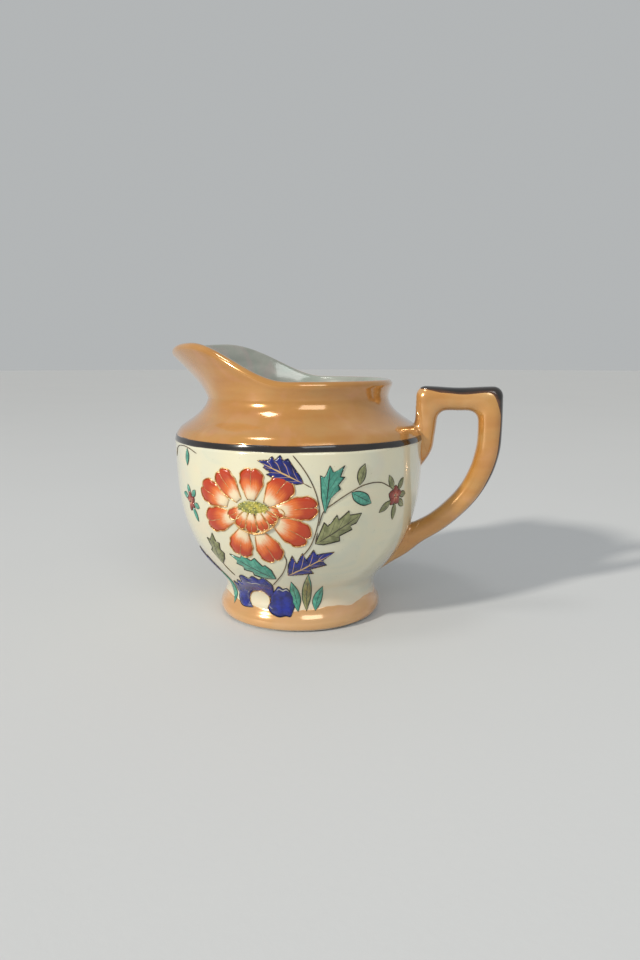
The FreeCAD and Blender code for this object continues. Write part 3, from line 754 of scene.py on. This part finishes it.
def rootEntry(turn, first, last):
    # how far along the handle, in rings, this side of it goes into the body
    for k in range(161):
        ring = first + (last - first) * k / 160
        spot = gripPoint(gripAt(ring / grip["rings"]), turn)
        near, out, _, _ = bodyTree.find_nearest(spot)
        if (near - spot).dot(out) > 0:
            return ring
    return last


# where each slip is looked for along the handle, in rings, and how far it spreads
slips = {"upperHandleSlip": (30, 2, 2.0), "lowerHandleSlip": (112, 149, 1.8)}
slipBack = 5.5


def rootSlip(name):
    # a smooth fillet from the handle down to a wider ring on the body
    first, last, spread = slips[name]
    bm = bmesh.new()
    back = slipBack if first > last else -slipBack
    curves = {}

    def place(s, t):
        turn = t * 360 - 180
        if turn not in curves:
            ring = rootEntry(turn, first, last)
            near = gripPoint(gripAt((ring + back) / grip["rings"]), turn, 0.004)
            share = gripAt(ring / grip["rings"])
            corner = gripPoint(share, turn)
            foot, out, _, _ = bodyTree.find_nearest(gripPoint(share, turn, spread))
            foot = foot - out * 0.04
            pulls = near.lerp(corner, 0.8), foot.lerp(corner, 0.8)
            curves[turn] = interpolate_bezier(near, *pulls, foot, 17)
        return curves[turn][round(s * 16)]

    wrapGrid(bm, 16, 48, place)
    return finished(name, welded(bm, 0.001), looks["handle"], "amber_lustre", [nodeOf(name)], 0.12)


band = {"first": 0.2, "last": 0.8, "limbTurn": 40, "barTurn": 64, "narrowsAt": 0.37, "narrowsOver": 0.04,
        "waver": 2.5}


def handleLineBand():
    # turns are degrees each way from the handle's outer edge
    bm = bmesh.new()

    def place(s, t):
        share = band["first"] + (band["last"] - band["first"]) * s
        onBar = 1 - min(max((share - band["narrowsAt"]) / band["narrowsOver"], 0), 1)
        wide = band["limbTurn"] + (band["barTurn"] - band["limbTurn"]) * onBar
        wide += band["waver"] * math.sin(share * 70)
        wide *= min(1.0, (s + 0.01) * 14) ** 0.5 * min(1.0, (1.01 - s) * 2.2)
        return gripPoint(gripAt(share), (t * 2 - 1) * wide, 0.02 + 0.07 * math.sin(math.pi * t) ** 0.5)

    wrapGrid(bm, 140, 12, place)
    bmesh.ops.recalc_face_normals(bm, faces=bm.faces[:])
    return finished("handleLine", bm, looks["handleLine"], "black_enamel", ["handle_line"], 0.08)


upperSlip = rootSlip("upperHandleSlip")
lowerSlip = rootSlip("lowerHandleSlip")
handleLine = handleLineBand()
for piece in (upperSlip, lowerSlip, handleLine):
    face = piece.data.polygons[len(piece.data.polygons) // 2]
    middle = min((gripPoint(i / 80, 0).lerp(gripPoint(i / 80, 180), 0.5) for i in range(81)),
                 key=lambda spot: (spot * mm - face.center).length)
    if face.normal.dot(face.center - middle * mm) < 0:
        piece.data.flip_normals()
print("handle ready")

lines = {"gold": [], "ink": []}


def outline(style, points, lift, radius):
    lines[style].append((flat(points), lift, radius))


def flatten(point, origin):
    # degrees and height to millimetres across and up the surface, seen from origin
    radius = radiusOn(outsideClay, (point[1] + origin[1]) / 2)
    above, below = radiusOn(outsideClay, point[1] + 1), radiusOn(outsideClay, point[1] - 1)
    stretch = math.hypot(1, (above - below) / 2)
    return Vector((math.radians(point[0] - origin[0]) * radius, (point[1] - origin[1]) * stretch, 0))


def unflatten(point, origin):
    above, below = radiusOn(outsideClay, origin[1] + 1), radiusOn(outsideClay, origin[1] - 1)
    height = origin[1] + point[1] / math.hypot(1, (above - below) / 2)
    height = min(max(height, 1.5), jug["bellyTop"] - 0.3)
    radius = radiusOn(outsideClay, (height + origin[1]) / 2)
    return origin[0] + math.degrees(point[0] / radius), height


def pad(bm, spine, left, right, dome, rows=22, columns=10, edge=0.02):
    # an enamel pad between a left and a right edge; all three lines hold (degrees, height)
    def place(s, t):
        middle = alongLine(spine, s)
        side = alongLine(left if t > 0.5 else right, s)
        away = abs(t * 2 - 1)
        spot = middle.lerp(side, away)
        ends = min(1.0, s * 8, (1 - s) * 8)
        rise = edge + (dome - edge) * (1 - away ** 4) * ends ** 0.5
        return surfacePoint(spot.x, spot.y, rise)

    verts = wrapGrid(bm, rows, columns, place)
    bmesh.ops.remove_doubles(bm, verts=verts, dist=0.004)


def placed(origin, toward, shape):
    # lay points (along, across) in millimetres from origin towards another point
    along = flatten(toward, origin).normalized()
    across = Vector((-along.y, along.x, 0))
    return [Vector(unflatten(along * x + across * y, origin)).to_3d() for x, y in shape]


def doubled(bm):
    # the far side carries the same decoration, mirrored
    made = bmesh.ops.duplicate(bm, geom=bm.verts[:] + bm.edges[:] + bm.faces[:])["geom"]
    verts = [item for item in made if isinstance(item, bmesh.types.BMVert)]
    faces = [item for item in made if isinstance(item, bmesh.types.BMFace)]
    bmesh.ops.scale(bm, vec=(1, -1, 1), verts=verts)
    bmesh.ops.reverse_faces(bm, faces=faces)
    return bm


def faceOut(bm):
    for face in bm.faces:
        if face.normal.xy.dot(face.calc_center_median().xy) < 0:
            face.normal_flip()
    return bm


def enamelPiece(name, bm, look, slot, thickness=0.12):
    bm.normal_update()
    finished(name, doubled(faceOut(bm)), looks[look], slot, [nodeOf(name)], thickness)


peony = {
    "petals": [((-19.0, 41.5), (-33.7, 45.6), 7.0), ((-13.6, 42.6), (-23.2, 50.6), 6.2),
               ((-8.2, 43.0), (-7.4, 52.0), 6.8), ((-1.6, 41.8), (7.4, 49.2), 7.2),
               ((1.6, 40.6), (19.2, 41.4), 6.6), ((0.4, 38.0), (15.6, 32.0), 7.6),
               ((-6.0, 34.2), (0.6, 25.6), 7.4), ((-12.6, 34.6), (-17.6, 26.4), 7.4),
               ((-15.6, 38.0), (-32.6, 35.4), 7.2)],
    "cup": [((-11.4, 40.6), (-19.0, 38.0), 3.2, 0.5), ((-10.6, 39.9), (-14.6, 35.1), 3.4, 0.56),
            ((-8.3, 39.6), (-8.8, 33.9), 3.6, 0.6), ((-5.4, 39.8), (-2.8, 34.7), 3.4, 0.56),
            ((-3.6, 40.4), (2.0, 37.3), 3.3, 0.5), ((-2.6, 41.0), (5.6, 39.4), 2.6, 0.42)],
    "arc": [(-16.4, 36.2), (-13.4, 34.6), (-9.0, 33.6), (-4.4, 33.9), (-0.6, 35.2), (2.4, 37.2), (3.4, 39.2)],
    "dome": 0.42,
}


# a petal's edge from its root to the notch in its tip: share along, share of the half width
petalNotch = 0.92
petalEdge = [(0.26, 0.66), (0.52, 1.02), (0.66, 0.98), (0.8, 1.02), (0.95, 0.66), (1, 0.34), (0.975, 0.1)]


def petalPad(bm, root, tip, width, dome, lift=0.0):
    length = flatten(tip, root).length
    half = width / 2
    shape = [(0, 0.15 * width)]
    shape += [(length * x, half * y) for x, y in petalEdge] + [(length * petalNotch, 0)]
    left = smoothThrough(placed(root, tip, shape), 6)
    right = smoothThrough(placed(root, tip, [(x, -y) for x, y in shape]), 6)
    spine = placed(root, tip, [(0, 0), (length * petalNotch * 0.5, 0), (length * petalNotch, 0)])
    pad(bm, spine, left, right, dome, edge=0.02 + lift)
    border = left + right[::-1]
    outline("gold", border, 0.1 + lift, 0.17)
    rib = placed(root, tip, [(length * petalNotch * 0.97, 0), (length * 0.7, 0.12), (length * 0.45, -0.05)])
    outline("gold", smoothThrough(rib, 5), dome + 0.02, 0.08)


for number, (root, tip, width) in enumerate(peony["petals"], 1):
    petalBm = bmesh.new()
    petalPad(petalBm, root, tip, width, peony["dome"] + 0.03 * (number % 2))
    enamelPiece("peonyPetal%d" % number, petalBm, "petal", "orange_enamel")

cupBm = bmesh.new()
for root, tip, width, dome in peony["cup"]:
    petalPad(cupBm, root, tip, width, dome, 0.3)
enamelPiece("peonyCupPetals", cupBm, "cup", "orange_enamel", 0.3)


def blob(bm, centre, halfWide, halfHigh, dome, lift):
    # an oval pad
    left, right = [], []
    for i in range(17):
        turn = math.pi * i / 16
        x, y = -math.cos(turn) * halfWide, math.sin(turn) * halfHigh
        left.append(Vector(unflatten((x, y), centre)).to_3d())
        right.append(Vector(unflatten((x, -y), centre)).to_3d())
    pad(bm, [left[0], left[-1]], left, right, dome, 20, 10, lift)


stamens = {"middle": (-7.6, 41.1), "halfWide": 4.5, "halfHigh": 1.75, "dome": 0.62, "lift": 0.4,
           "dots": 64, "dotWide": 4.6, "dotHigh": 1.9, "dotSizes": (0.16, 0.3), "dotLift": 0.66}
stamenBm = bmesh.new()
blob(stamenBm, stamens["middle"], stamens["halfWide"], stamens["halfHigh"], stamens["dome"], stamens["lift"])
for _ in range(stamens["dots"]):
    turn, away = random.uniform(0, 2 * math.pi), random.random() ** 0.5
    spot = (math.cos(turn) * stamens["dotWide"] * away, math.sin(turn) * stamens["dotHigh"] * away)
    degrees, height = unflatten(spot, stamens["middle"])
    dot = bmesh.ops.create_icosphere(stamenBm, subdivisions=1, radius=random.uniform(*stamens["dotSizes"]))
    place = surfacePoint(degrees, height, stamens["dotLift"])
    bmesh.ops.translate(stamenBm, vec=place, verts=dot["verts"])
enamelPiece("peonyStamens", stamenBm, "stamen", "yellow_enamel", 0.0)
print("peony ready")

# leaves as (degrees, height): base, tip, edge above, edge below, finish, outline
leaves = {
    "leafBlueUpper": (
        (13.5, 48.1), (-4.8, 54.2), [(12.4, 49.8), (9.2, 53.0), (7.4, 54.9),
        (5.6, 54.4), (4.3, 55.8), (2.2, 54.4), (1.1, 55.5), (-0.6, 54.2), (-1.3, 54.4)], [(9.6, 47.8),
        (4.4, 48.8), (2.2, 49.2), (-1.4, 50.5), (0.8, 50.9), (-1.0, 51.6), (-2.6, 52.4), (-1.6, 53.0)],
        "blue"),
    "leafTurquoiseUpper": (
        (22.2, 39.6), (24.0, 52.8), [(20.6, 44.0), (20.1, 50.2), (21.6, 49.6),
        (22.4, 50.2)], [(24.5, 43.9), (26.8, 45.4), (28.6, 46.2), (27.6, 47.4), (30.3, 49.5),
        (28.4, 49.6), (30.2, 52.7), (25.7, 50.6)], "turquoise"),
    "leafOliveRight": (
        (18.6, 30.6), (38.6, 38.8), [(20.4, 34.0), (22.0, 37.0), (23.6, 35.8),
        (27.4, 38.9), (28.2, 37.4), (32.6, 39.9), (32.9, 38.6)], [(22.4, 30.2), (29.6, 31.0),
        (29.2, 32.6), (34.8, 34.2), (33.6, 35.4), (36.4, 36.0)], "olive"),
    "leafBlueLower": (
        (5.4, 19.9), (27.7, 27.6), [(6.2, 23.8), (8.3, 26.9), (10.2, 24.0),
        (13.0, 27.7), (14.6, 25.2), (18.0, 28.7), (19.2, 27.0), (22.6, 27.4)], [(11.5, 20.2),
        (18.9, 20.6), (16.8, 22.2), (25.0, 23.4), (22.0, 24.8), (24.6, 26.0)], "blue"),
    "leafTurquoiseLower": (
        (-1.5, 18.4), (-24.3, 25.6), [(-2.8, 21.6), (-5.6, 23.2), (-7.0, 22.8),
        (-10.3, 25.4), (-12.6, 24.4), (-17.0, 26.0), (-18.2, 24.8)], [(-8.9, 18.1), (-14.2, 19.0),
        (-14.0, 20.2), (-19.0, 20.6), (-18.4, 21.8), (-22.2, 22.6), (-20.6, 23.6)], "turquoise"),
    "leafOliveLeft": (
        (-33.9, 21.1), (-32.0, 31.5), [(-35.7, 23.4), (-37.9, 25.4), (-35.9, 26.4),
        (-37.4, 29.4), (-35.0, 29.0)], [(-29.6, 23.4), (-28.0, 25.4), (-30.0, 26.4), (-28.9, 28.6),
        (-31.0, 28.8)], "olive"),
    "leafBlueLeft": (
        (-46.5, 16.2), (-60.0, 22.6), [(-47.5, 18.8), (-50.5, 21.6), (-52.4, 20.8),
        (-56.0, 23.8), (-57.0, 22.8)], [(-51.0, 15.6), (-55.6, 16.2), (-54.9, 17.8), (-60.4, 18.6),
        (-59.0, 20.2)], "blue"),
    "leafSmallOlive": (
        (37.0, 46.9), (39.2, 52.8), [(35.8, 49.0), (36.4, 51.2)], [(39.2, 48.6),
        (39.8, 50.6)], "olive"),
    "leafSmallTurquoise": (
        (33.4, 45.0), (43.0, 41.4), [(36.8, 45.2), (41.0, 44.0)], [(34.6, 42.8),
        (39.0, 41.0)], "turquoise"),
}


def leafPad(bm, base, tip, above, below, style):
    left, right = raised([base, *above, tip]), raised([base, *below, tip])
    if len(above) < 3:
        left, right = smoothThrough(left, 6), smoothThrough(right, 6)
    pad(bm, raised([base, tip]), left, right, 0.34, 44, 10)
    border = left + right[::-1]
    outline(style, border, 0.08, 0.125 if style == "ink" else 0.09)
    if style == "gold":
        outline("ink", border, 0.03, 0.15)


for name, (base, tip, above, below, colour) in leaves.items():
    leafBm = bmesh.new()
    leafPad(leafBm, base, tip, above, below, "gold" if colour == "blue" else "ink")
    enamelPiece(name, leafBm, colour + "Leaf", colour + "_enamel")

rocks = {
    "rockLeft": (
        [(-23.5, 6.2), (-31.5, 7.6), (-34.0, 10.6), (-29.0, 12.8), (-21.0, 14.8),
        (-13.0, 15.2), (-6.2, 12.9)], [(-23.5, 6.2), (-32.3, 5.8), (-37.0, 6.6), (-39.6, 8.4),
        (-38.8, 9.6), (-40.4, 11.0), (-39.4, 13.8), (-35.6, 13.3), (-32.6, 15.2), (-29.3, 14.7),
        (-27.0, 17.2), (-23.5, 18.0), (-20.2, 17.1), (-16.1, 18.4), (-12.8, 17.3), (-9.4, 18.3),
        (-7.2, 17.0), (-5.4, 15.4), (-6.2, 12.9)], [(-23.5, 6.2), (-26.4, 7.4), (-27.2, 9.0),
        (-25.0, 10.8), (-21.1, 11.9), (-16.5, 12.3), (-12.6, 11.8), (-9.8, 10.4), (-7.0, 11.2),
        (-6.2, 12.9)]),
    "rockRight": (
        [(-9.9, 8.6), (-1.6, 9.6), (6.9, 6.6)], [(-9.9, 8.6), (-8.4, 11.4), (-6.3, 12.6),
        (-4.4, 13.6), (-1.6, 15.2), (0.8, 14.2), (3.2, 14.6), (5.4, 13.2), (7.5, 12.0), (7.0, 9.6),
        (7.9, 8.0), (6.9, 6.6)], [(-9.9, 8.6), (-11.4, 7.2), (-9.6, 5.8), (-6.4, 5.0), (-2.0, 4.6),
        (2.2, 5.0), (5.4, 4.9), (6.9, 6.6)]),
}
for name, (spine, above, below) in rocks.items():
    rockBm = bmesh.new()
    left, right = smoothThrough(above, 4), smoothThrough(below, 4)
    pad(rockBm, smoothThrough(spine, 4), left, right, 0.55, 60, 14)
    enamelPiece(name, rockBm, "rock", "blue_enamel")
    outline("ink", left + right[::-1], 0.06, 0.13)
openingEdge = [(-26.4, 7.4), (-27.2, 9.0), (-25.0, 10.8), (-21.1, 11.9), (-16.5, 12.3), (-12.6, 11.8),
               (-10.2, 10.2), (-10.4, 8.4), (-12.0, 6.6)]
outline("gold", smoothThrough(openingEdge, 5), 0.12, 0.12)

def bladePad(bm, base, tip, width, edgeShape, span, dome, rows, columns, ink):
    # a pointed blade between two mirrored edges; edgeShape holds (share along, share of the half width)
    length, half = flatten(tip, base).length, width / 2
    left = smoothThrough(placed(base, tip, [(length * x, half * y) for x, y in edgeShape]), span)
    right = smoothThrough(placed(base, tip, [(length * x, -half * y) for x, y in edgeShape]), span)
    pad(bm, [left[0], left[-1]], left, right, dome, rows, columns)
    outline("ink", left + right[::-1], 0.07, ink)


# base, tip, width
grass = [((10.4, 6.2), (6.6, 15.4), 2.6), ((16.2, 6.4), (16.2, 17.8), 2.5),
         ((22.4, 6.4), (26.0, 13.8), 2.6), ((-43.6, 5.4), (-47.5, 15.4), 2.6)]
grassBm = bmesh.new()
for base, tip, width in grass:
    bladePad(grassBm, base, tip, width, [(0, 0), (0.3, 1), (0.65, 0.9), (1, 0)], 6, 0.32, 26, 8, 0.08)
enamelPiece("grassBlades", grassBm, "grass", "olive_enamel")


def rosette(bm, middle, tips, width, start):
    for turn, length in tips:
        x, y = aim(turn)
        base, tip = unflatten((x * start, y * start), middle), unflatten((x * length, y * length), middle)
        bladePad(bm, base, tip, width, [(0, 0), (0.35, 1), (0.7, 0.9), (1, 0)], 5, 0.34, 14, 8, 0.075)


flowers = {
    "sideFlowerSepals": (
        (57.0, 42.3), [(54, 6.2), (116, 7.2), (0, 5.4), (322, 6.2), (272, 7.2),
        (214, 7.4)], 1.9, 2.0, "oliveLeaf", "olive_enamel"),
    "sideFlowerPetals": (
        (57.0, 42.3), [(18, 3.0), (90, 3.2), (162, 3.0), (234, 3.1), (306, 3.1)],
        2.5, 0.2, "smallPetal", "orange_enamel"),
    "spoutFlowerLeaves": (
        (-44.0, 40.0), [(50, 4.8), (290, 6.4), (104, 5.0), (158, 5.2), (340, 4.6)],
        1.7, 1.8, "turquoiseLeaf", "olive_enamel"),
    "spoutFlowerPetals": (
        (-44.0, 40.0), [(30, 2.4), (100, 3.4), (165, 2.4), (250, 3.4), (310, 2.6)],
        1.9, 0.2, "smallPetal", "orange_enamel"),
}
for name, (middle, tips, width, start, look, slot) in flowers.items():
    flowerBm = bmesh.new()
    rosette(flowerBm, middle, tips, width, start)
    enamelPiece(name, flowerBm, look, slot)
print("leaves and flowers ready")


def drawnLines(name, strokes, look, slot, nodes, beads=0.0):
    # round-bodied lines laid on the glaze, made a mesh and mirrored to the far side
    curve = bpy.data.curves.new(name, "CURVE")
    curve.dimensions = "3D"
    curve.bevel_depth = 1.0
    curve.bevel_resolution = 1
    curve.use_fill_caps = True
    for points, lift, radius in strokes:
        dense = []
        for a, b in zip(points, points[1:]):
            a, b = Vector(a), Vector(b)
            count = max(1, round(flatten(b, a).length / 0.3))
            dense += [a.lerp(b, k / count) for k in range(count)]
        dense.append(Vector(points[-1]))
        spline = curve.splines.new("POLY")
        spline.points.add(len(dense) - 1)
        for i, (spot, (degrees, height)) in enumerate(zip(spline.points, dense)):
            spot.co = (*surfacePoint(degrees, height, lift), 1)
            ends = min(1.0, 0.45 + i * 0.2, 0.45 + (len(dense) - 1 - i) * 0.2)
            spot.radius = radius * ends * (1 + beads * random.uniform(-0.4, 1.0) * (i % 3 == 0))
    source = bpy.data.objects.new(name + "Source", curve)
    scene.collection.objects.link(source)
    bpy.context.view_layer.update()
    mesh = bpy.data.meshes.new_from_object(source.evaluated_get(bpy.context.evaluated_depsgraph_get()))
    bpy.data.objects.remove(source)
    bm = bmesh.new()
    bm.from_mesh(mesh)
    bpy.data.meshes.remove(mesh)
    finished(name, doubled(welded(bm, 0.0005)), looks[look], slot, nodes)


def smoothStroke(points, lift, radius):
    return flat(smoothThrough(points, 6)), lift, radius


stems = {
    "stemMain": [
        [(9.3, 55.8), (13.5, 52.0), (16.9, 47.9), (19.1, 43.7), (19.9, 39.5), (18.6, 34.0),
        (16.4, 29.8), (12.8, 26.6)], [(13.5, 48.1), (16.6, 46.9)]],
    "stemLower": [
        [(3.7, 28.3), (5.5, 25.1), (3.6, 21.5), (0.4, 18.8), (-4.8, 15.6)], [(-33.9, 21.1),
        (-31.0, 17.0)]],
    "stemBranch": [
        [(19.8, 36.0), (21.6, 40.0), (25.6, 42.2), (32.8, 45.1), (39.7, 46.9),
        (47.5, 47.0), (53.7, 45.1)], [(19.4, 34.0), (18.6, 30.6)]],
}
for name, runs in stems.items():
    drawnLines(name, [smoothStroke(run, 0.03, 0.17) for run in runs], "stem", "brown_enamel",
               [nodeOf(name)])
hanging = [(-60.5, 52.0), (-57.0, 54.9), (-50.1, 56.0), (-43.0, 55.8), (-36.5, 54.6)]
sprigBm = bmesh.new()
leafPad(sprigBm, (-44.2, 55.6), (-44.6, 50.6), [(-45.6, 53.8), (-45.8, 52.2)],
        [(-42.8, 53.8), (-43.2, 52.2)], "ink")
enamelPiece("hangingSprig", sprigBm, "turquoiseLeaf", "olive_enamel")
drawnLines("hangingStem", [smoothStroke(hanging, 0.03, 0.15)], "stem", "brown_enamel", [])
drawnLines("peonyGoldArc", [smoothStroke(peony["arc"], 0.62, 0.24)], "gold", "gold_line",
           ["peony_gold_arc"], 0.3)
drawnLines("goldOutlines", lines["gold"], "gold", "gold_line", [], 0.45)
drawnLines("darkOutlines", lines["ink"], "ink", "black_enamel", [])
print("lines ready")


def paleFloor():
    f = Finish("paleFloor", SpecularIORLevel=0.3)
    spot = f.place()
    grain = f.noise(spot, 600.0, 4.0, 0.6)
    cloud = f.noise(spot, 6.0, 3.0, 0.5)
    f.set(BaseColor=f.mix(cloud * 0.5 + grain * 0.2, tone(200, 201, 202), tone(208, 209, 209)),
          Roughness=grain * 0.1 + 0.55)
    return f.bump(grain, 0.15, 0.15).material


floorBm = bmesh.new()
bmesh.ops.create_circle(floorBm, cap_ends=True, segments=96, radius=4.0)
floorMesh = bpy.data.meshes.new("floor")
floorBm.to_mesh(floorMesh)
floorBm.free()
floor = bpy.data.objects.new("floor", floorMesh)
floorMesh.materials.append(paleFloor())
scene.collection.objects.link(floor)

world = bpy.data.worlds.new("softRoom")
scene.world = world
world.use_nodes = True
world.node_tree.nodes["Background"].inputs[0].default_value = (0.90, 0.93, 0.94, 1)
world.node_tree.nodes["Background"].inputs[1].default_value = 0.5


def softLight(name, kind, turn, rise, settings):
    # a lamp aimed at the jug; turn is round Z from +X, rise is above the floor
    data = bpy.data.lights.new(name, kind)
    for key, value in settings.items():
        setattr(data, key, value)
    (x, y), (level, up) = aim(turn), aim(rise)
    away = Vector((x * level, y * level, up))
    lamp = bpy.data.objects.new(name, data)
    lamp.location = away * 0.9 + Vector((0, 0, 0.04))
    lamp.rotation_euler = (-away).to_track_quat("-Z", "Y").to_euler()
    scene.collection.objects.link(lamp)


softLight("keyLight", "SUN", 227, 27, {"energy": 2.55, "angle": math.radians(5), "color": (1.0, 0.96, 0.88)})
softLight("ceilingLight", "AREA", 214, 66, {"energy": 0.8, "size": 0.16, "color": (1.0, 0.98, 0.94)})
softLight("windowLight", "AREA", 300, 40, {"energy": 1.6, "size": 0.42, "color": (0.93, 0.97, 1.0)})

view = {"place": (0.0467, -0.2196, 0.0821), "tilt": 79.9, "turn": 10.33, "lens": 26.25, "sensor": 36,
        "nearest": 0.005}
camera = bpy.data.objects.new("camera", bpy.data.cameras.new("camera"))
camera.data.sensor_fit = "VERTICAL"
camera.data.sensor_height = view["sensor"]
camera.data.lens = view["lens"]
camera.data.clip_start = view["nearest"]
camera.location = view["place"]
camera.rotation_euler = (math.radians(view["tilt"]), 0, math.radians(view["turn"]))
scene.collection.objects.link(camera)
scene.camera = camera
scene.view_settings.view_transform = "Standard"

print("jug ready")
